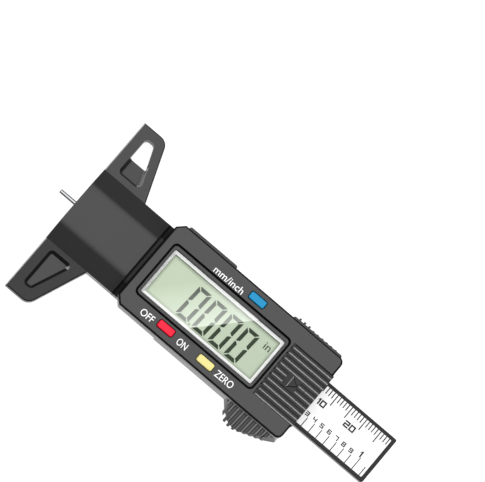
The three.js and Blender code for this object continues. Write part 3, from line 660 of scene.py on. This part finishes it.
def finish_edges(part, width, sharp):
    """Rounds the sharp edges a little and smooths the faceted curves."""
    smooth = part.modifiers.new("weld_and_smooth", "NODES")
    smooth.node_group = SMOOTHING[sharp]
    flats = part.modifiers.new("join_flats", "DECIMATE")
    flats.decimate_type = "DISSOLVE"
    flats.angle_limit = FLAT_ANGLE
    if width:
        bevel = part.modifiers.new("edge_rounding", "BEVEL")
        bevel.width = width
        bevel.segments = BEVEL_SEGMENTS
        bevel.limit_method = "ANGLE"
        bevel.angle_limit = sharp
        bevel.harden_normals = True
        bevel.miter_outer = "MITER_ARC"
    normals = part.modifiers.new("even_normals", "WEIGHTED_NORMAL")
    normals.keep_sharp = True


EDGE_WIDTH = {  # millimetres; the other pieces keep their edges
    "frame": 0.12,
    "display_housing": 0.1,
    "beam": 0.1,
    "window_frame": 0.08,
    "button_unit": 0.12,
    "button_power": 0.12,
    "button_zero": 0.12,
}

for subpart in frame["record"]["subparts"]:
    cad = frame["nodes"][subpart["node"]]
    slot = subpart["material_slot"]
    cad.data.materials.clear()
    cad.data.materials.append(MATERIALS[slot])
    sharpness = SHARP_FRAME if subpart["node"] == "frame" else SHARP
    finish_edges(cad, EDGE_WIDTH.get(subpart["node"], 0) * MM, sharpness)


# ---- printed pieces -----------------------------------------------------------------------------


def prism_mesh(name, outlines, z, thick):
    """Closed flat prisms, one for each outline of (x, y) points in metres."""
    mesh = bpy.data.meshes.new(name)
    made = bmesh.new()
    for points in outlines:
        lower = [made.verts.new((x, y, z)) for x, y in points]
        upper = [made.verts.new((x, y, z + thick)) for x, y in points]
        made.faces.new(lower[::-1])
        made.faces.new(upper)
        for i in range(len(points)):
            j = (i + 1) % len(points)
            made.faces.new((lower[i], lower[j], upper[j], upper[i]))
    bmesh.ops.recalc_face_normals(made, faces=made.faces[:])
    made.to_mesh(mesh)
    made.free()
    piece = bpy.data.objects.new(name, mesh)
    bpy.context.scene.collection.objects.link(piece)
    return piece


def add_piece(piece, body, slot):
    """Gives the piece its material and the body that it moves with."""
    piece.data.materials.append(MATERIALS[slot])
    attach(piece, body)


def text(name, words, low, high, z, weight, body, slot):
    """Printed words that fill the box from low to high, (x, y) corners in metres."""
    curve = bpy.data.curves.new(name, "FONT")
    curve.body = words
    curve.size = 1
    curve.offset = weight
    curve.fill_mode = "BOTH"
    curve.extrude = INK_THICK / 2
    piece = bpy.data.objects.new(name, curve)
    bpy.context.scene.collection.objects.link(piece)
    bpy.context.view_layer.update()
    corners = [Vector(corner) for corner in piece.bound_box]
    left, right = min(c.x for c in corners), max(c.x for c in corners)
    bottom, top = min(c.y for c in corners), max(c.y for c in corners)
    scale_x = (high.x - low.x) / (right - left)
    scale_y = (high.y - low.y) / (top - bottom)
    piece.scale = (scale_x, scale_y, 1)
    piece.location = (low.x - left * scale_x, low.y - bottom * scale_y, z + INK_THICK / 2)
    add_piece(piece, body, slot)


def rectangle(x0, x1, y0, y1):
    return [(x0, y0), (x1, y0), (x1, y1), (x0, y1)]


# Digits of the display
DIGITS = 4
DIGIT_SIZE = Vector((4.3, 10.1)) * MM
DIGIT_PITCH = 5.6 * MM
DIGITS_START = -8.45 * MM  # left edge of the first digit, from the view's middle
DIGITS_RISE = -0.75 * MM  # the digits' middle, from the view's middle
BAR = 1.05 * MM  # width of a bar
GAP = 0.3 * MM  # between bars
LEAN = math.tan(math.radians(3.2))
POINT_GAP = 0.35 * MM  # from the first digit to the decimal point
POINT_SIZE = 0.5 * MM
UNIT_PLACE = Vector((15.4, 2.35)) * MM  # the "in" sign's lower left corner, from the view's middle
UNIT_SIZE = Vector((1.95, 2.1)) * MM
UNIT_WEIGHT = 0.003


def zero_bars():
    """The six lit bars of a seven-segment zero, with mitred ends; origin at the lower left."""
    w, h = DIGIT_SIZE
    half = h / 2
    top = [(GAP, h), (w - GAP, h), (w - BAR - GAP * 0.4, h - BAR), (BAR + GAP * 0.4, h - BAR)]
    upper_left = [
        (0, h - GAP),
        (BAR, h - BAR - GAP * 0.6),
        (BAR, half + GAP / 2 + BAR * 0.45),
        (BAR * 0.35, half + GAP / 2),
        (0, half + GAP / 2),
    ]
    upper_right = [(w - x, y) for x, y in upper_left]
    upper = [top, upper_left, upper_right]
    lower = [[(x, h - y) for x, y in bar] for bar in upper]
    return upper + lower


def display_digits():
    """Four zeros with the decimal point after the first, and the inch sign."""
    z = GLASS_TOP + INK_LIFT
    start = VIEW_MIDDLE + Vector((DIGITS_START, DIGITS_RISE - DIGIT_SIZE.y / 2))
    for i in range(DIGITS):
        left = start.x + i * DIGIT_PITCH
        bars = [[(left + x + y * LEAN, start.y + y) for x, y in bar] for bar in zero_bars()]
        digit = prism_mesh(f"lcd_digit_{i + 1}", bars, z, INK_THICK)
        add_piece(digit, "gauge_body", "lcd_segment")
    dot_x = start.x + DIGIT_SIZE.x + POINT_GAP
    dot = rectangle(dot_x, dot_x + POINT_SIZE, start.y, start.y + POINT_SIZE)
    add_piece(prism_mesh("lcd_point", [dot], z, INK_THICK), "gauge_body", "lcd_segment")
    low = VIEW_MIDDLE + UNIT_PLACE
    high = low + UNIT_SIZE
    text("lcd_unit_in", "in", low, high, z, UNIT_WEIGHT, "gauge_body", "lcd_segment")


# Words beside the buttons
LETTER_HEIGHT = 2.0 * MM
LETTER_WEIGHT = 0.002
FLANGE_OVERHANG = 0.7 * MM  # a button's flange is this much longer than its cap at either end


def button_label(name, words, button, gap, width, rise=0.0, side=1):
    """Words to the right (side 1) or left (side -1) of a button's cap, gap from its edge."""
    low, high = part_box(button)
    cap_low, cap_high = low.x + FLANGE_OVERHANG, high.x - FLANGE_OVERHANG
    x0 = cap_high + gap if side > 0 else cap_low - gap - width
    middle = (low.y + high.y) / 2 + rise
    text(
        name,
        words,
        Vector((x0, middle - LETTER_HEIGHT / 2)),
        Vector((x0 + width, middle + LETTER_HEIGHT / 2)),
        BEZEL_TOP + INK_LIFT,
        LETTER_WEIGHT,
        "gauge_body",
        "ink_white",
    )


def bezel_labels():
    button_label("label_unit", "mm/inch", "button_unit", 1.75 * MM, 9.75 * MM, -0.95 * MM, -1)
    button_label("label_off", "OFF", "button_power", 1.25 * MM, 4.2 * MM, -0.62 * MM, -1)
    button_label("label_on", "ON", "button_power", 1.8 * MM, 3.15 * MM, -0.42 * MM)
    button_label("label_zero", "ZERO", "button_zero", 1.2 * MM, 5.8 * MM, -0.15 * MM)


# Numbers on the scales, as squarish strokes: a top, b and c right, d bottom, e and f left, g middle
STROKES = {
    "0": "abcdef",
    "1": "bc",
    "2": "abged",
    "3": "abgcd",
    "4": "fgbc",
    "5": "afgcd",
    "6": "afgecd",
    "7": "abc",
    "8": "abcdefg",
    "9": "abcdfg",
}


def numeral(digit, left, bottom, size, stroke):
    """The stroke outlines of one squarish digit whose lower left corner is given."""
    width, height = size
    lit = STROKES[digit]
    middle = height / 2
    half = stroke / 2
    spans = []
    for key, y0 in (("a", height - stroke), ("g", middle - half), ("d", 0)):
        if key in lit:
            spans.append((0, width, y0, y0 + stroke))
    below = middle + (half if "g" in lit else 0)
    above = middle - (half if "g" in lit else 0)
    high = height - (stroke if "a" in lit else 0)
    low = stroke if "d" in lit else 0
    for key, x0, y0, y1 in (
        ("b", width - stroke, below, high),
        ("f", 0, below, high),
        ("c", width - stroke, low, above),
        ("e", 0, low, above),
    ):
        if key in lit:
            spans.append((x0, x0 + stroke, y0, y1))
    shapes = [
        [(left + x, bottom + y) for x, y in rectangle(x0, x1, y0, y1)] for x0, x1, y0, y1 in spans
    ]
    if digit == "1":
        flag = [
            (0, height - stroke * 2.1),
            (width - stroke, height - stroke * 1.2),
            (width - stroke, height),
        ]
        shapes.append([(left + x, bottom + y) for x, y in flag])
    return shapes


# Scales on the beam: the body's rear end reads them, so zero lies there when the probe is flush.
INCH = 25.4 * MM
READING = -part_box("probe")[0].x
ZERO_X = HOUSING_HIGH.x - READING
INCH_ZERO_X = ZERO_X - 0.13 * MM
LAST_MM = 28
LAST_TENTH = 11
MM_TICK_WIDTH = 0.3 * MM
TENTH_TICK_WIDTH = 0.25 * MM
SHORT_TICK = 1.9 * MM
LONG_TICK = 3.6 * MM
TENTH_TICK = 2.8 * MM
INCH_TICK = 3.9 * MM
# Digits are given by width and height; the big ones are the 10, the 20 and the inch scale's 1.
SMALL_DIGIT = (1.15 * MM, 1.3 * MM)
SMALL_STROKE = 0.28 * MM
BIG_DIGIT = (1.65 * MM, 1.85 * MM)
BIG_STROKE = 0.42 * MM
BIG_ONE = (0.9 * MM, 1.85 * MM)
ONE_STEP = 1.15 * MM  # from a big 1 to the digit after it
BIG_STEP = 1.9 * MM  # from any other big digit to the one after it
BIG_DROP = 5.45 * MM  # from the label's top to the foot of the 10 and the 20
TENTHS_RISE = 3.0 * MM  # from the label's bottom to the foot of the tenths
INCH_RISE = 3.72 * MM  # and to the foot of the 1
# How far each number starts before its tick
TEN_LEAD = 3.65 * MM
TWENTY_LEAD = 4.2 * MM
TENTH_LEAD = 1.3 * MM
INCH_LEAD = 1.1 * MM


def tick(x, y0, y1, width):
    return rectangle(x - width / 2, x + width / 2, y0, y1)


def scale_marks():
    """Millimetre marks along the label's upper edge and tenths of an inch along its lower one."""
    top, bottom = LABEL_HIGH.y, LABEL_LOW.y
    z = LABEL_HIGH.z + INK_LIFT

    def printed(name, shapes):
        add_piece(prism_mesh(name, shapes, z, INK_THICK), "slider", "ink_black")

    ticks = []
    for i in range(LAST_MM + 1):
        length = LONG_TICK if i % 5 == 0 else SHORT_TICK
        ticks.append(tick(ZERO_X + i * MM, top - length, top, MM_TICK_WIDTH))
    printed("scale_mm_ticks", ticks)
    tenths = []
    for i in range(LAST_TENTH + 1):
        length = INCH_TICK if i == 10 else TENTH_TICK
        x = INCH_ZERO_X + i * INCH / 10
        tenths.append(tick(x, bottom, bottom + length, TENTH_TICK_WIDTH))
    printed("scale_inch_ticks", tenths)
    big_bottom = top - BIG_DROP
    left = ZERO_X + 10 * MM - TEN_LEAD
    ten = numeral("1", left, big_bottom, BIG_ONE, BIG_STROKE)
    ten += numeral("0", left + ONE_STEP, big_bottom, BIG_DIGIT, BIG_STROKE)
    printed("scale_mm_10", ten)
    left = ZERO_X + 20 * MM - TWENTY_LEAD
    twenty = numeral("2", left, big_bottom, BIG_DIGIT, BIG_STROKE)
    twenty += numeral("0", left + BIG_STEP, big_bottom, BIG_DIGIT, BIG_STROKE)
    printed("scale_mm_20", twenty)
    for tenth in range(1, 10):
        left = INCH_ZERO_X + tenth * INCH / 10 - TENTH_LEAD
        shapes = numeral(str(tenth), left, bottom + TENTHS_RISE, SMALL_DIGIT, SMALL_STROKE)
        printed(f"scale_tenth_{tenth}", shapes)
    left = INCH_ZERO_X + INCH - INCH_LEAD
    printed("scale_inch_1", numeral("1", left, bottom + INCH_RISE, BIG_ONE, BIG_STROKE))


display_digits()
bezel_labels()
scale_marks()


# ---- stage, light and camera --------------------------------------------------------------------


FLOOR_HALF = 3.0
FLOOR_DROP = 0.02 * MM  # below the back
FLOOR_GLOW = (1.18, 0.88)  # the table's own light: what it gives the object, what the camera sees
SOFTBOX_SIZE = (1.7, 1.7)
SOFTBOX_DISTANCE = 1.1
SOFTBOX_RADIANCE = 2.67


def floor():
    """A pale table just under the back, seen from above only."""
    made, tree, output = new_material("floor_paper")
    tone = noise(tree, 3, 3)
    base = mix_colours(tree, tone, grey(0.22), grey(0.24))
    diffuse = node(tree, "ShaderNodeBsdfDiffuse", Color=base)
    direct = node(tree, "ShaderNodeLightPath").outputs["Is Camera Ray"]
    strength = ramp(tree, direct, 0, 1, *FLOOR_GLOW)
    glow = node(tree, "ShaderNodeEmission", Strength=strength)
    lit = node(tree, "ShaderNodeAddShader")
    tree.links.new(diffuse.outputs[0], lit.inputs[0])
    tree.links.new(glow.outputs[0], lit.inputs[1])
    # Reflections that meet the table at a low angle find it dark, as if it ended close by.
    rays = node(tree, "ShaderNodeNewGeometry").outputs["Incoming"]
    steep = node(tree, "ShaderNodeSeparateXYZ", Vector=rays).outputs["Z"]
    reach = ramp(tree, steep, 0.25, 0.5, 0.1, 1)
    shown = math_node(tree, "MAXIMUM", direct, reach)
    black = node(tree, "ShaderNodeBsdfDiffuse", Color=grey(0))
    dimmed = node(tree, "ShaderNodeMixShader", Fac=shown)
    tree.links.new(black.outputs[0], dimmed.inputs[1])
    tree.links.new(lit.outputs[0], dimmed.inputs[2])
    behind = node(tree, "ShaderNodeNewGeometry").outputs["Backfacing"]
    mixed = node(tree, "ShaderNodeMixShader", Fac=behind)
    tree.links.new(dimmed.outputs[0], mixed.inputs[1])
    tree.links.new(node(tree, "ShaderNodeBsdfTransparent").outputs[0], mixed.inputs[2])
    tree.links.new(mixed.outputs[0], output.inputs[0])
    half = FLOOR_HALF
    mesh = bpy.data.meshes.new("floor")
    z = cad_low.z - FLOOR_DROP
    corners = [(-half, -half, z), (half, -half, z), (half, half, z), (-half, half, z)]
    mesh.from_pydata(corners, [], [(0, 1, 2, 3)])
    mesh.materials.append(made)
    plane = bpy.data.objects.new("floor", mesh)
    bpy.context.scene.collection.objects.link(plane)


def world():
    """Dim surroundings, darkest at the horizon."""
    made = bpy.data.worlds.new("studio")
    made.use_nodes = True
    tree = made.node_tree
    tree.nodes.clear()
    place = node(tree, "ShaderNodeTexCoord").outputs["Generated"]
    height = node(tree, "ShaderNodeSeparateXYZ", Vector=place).outputs["Z"]
    strength = ramp(tree, height, 0.0, 0.8, 0.1, 0.35)
    background = node(tree, "ShaderNodeBackground", Color=(1, 1, 1, 1), Strength=strength)
    output = tree.nodes.new("ShaderNodeOutputWorld")
    tree.links.new(background.outputs[0], output.inputs[0])
    bpy.context.scene.world = made


def area_light(name, place, target, size, radiance):
    """A rectangular softbox of the given radiance that faces the target."""
    light = bpy.data.lights.new(name, "AREA")
    light.shape = "RECTANGLE"
    light.size, light.size_y = size
    light.energy = radiance * math.pi * size[0] * size[1]
    made = bpy.data.objects.new(name, light)
    made.location = place
    made.rotation_mode = "QUATERNION"
    made.rotation_quaternion = (Vector(target) - Vector(place)).to_track_quat("-Z", "Y")
    bpy.context.scene.collection.objects.link(made)


def lights():
    """One large softbox, centred where the flats reflect the camera."""
    centre = (cad_low + cad_high) / 2
    mirror = Vector((0, math.sin(TILT), math.cos(TILT)))
    place = centre + mirror * SOFTBOX_DISTANCE
    area_light("softbox", place, centre, SOFTBOX_SIZE, SOFTBOX_RADIANCE)


def camera():
    """A long lens, tipped towards the -Y side and rolled, so the gauge lies across the picture."""
    data = bpy.data.cameras.new("camera")
    data.sensor_width = 36
    data.lens = data.sensor_width * CAMERA_DISTANCE / FIELD_WIDTH
    made = bpy.data.objects.new("camera", data)
    across = Vector((0, math.cos(TILT), math.sin(TILT)))
    along = Vector((1, 0, 0))
    right = math.cos(ROLL) * along + math.sin(ROLL) * across
    up = -math.sin(ROLL) * along + math.cos(ROLL) * across
    turn = Matrix((right, up, TOWARDS_CAMERA)).transposed()
    place = CAMERA_TARGET + TOWARDS_CAMERA * CAMERA_DISTANCE
    made.matrix_world = Matrix.Translation(place) @ turn.to_4x4()
    bpy.context.scene.collection.objects.link(made)
    bpy.context.scene.camera = made


floor()
world()
lights()
camera()
bpy.context.scene.view_settings.view_transform = "Standard"
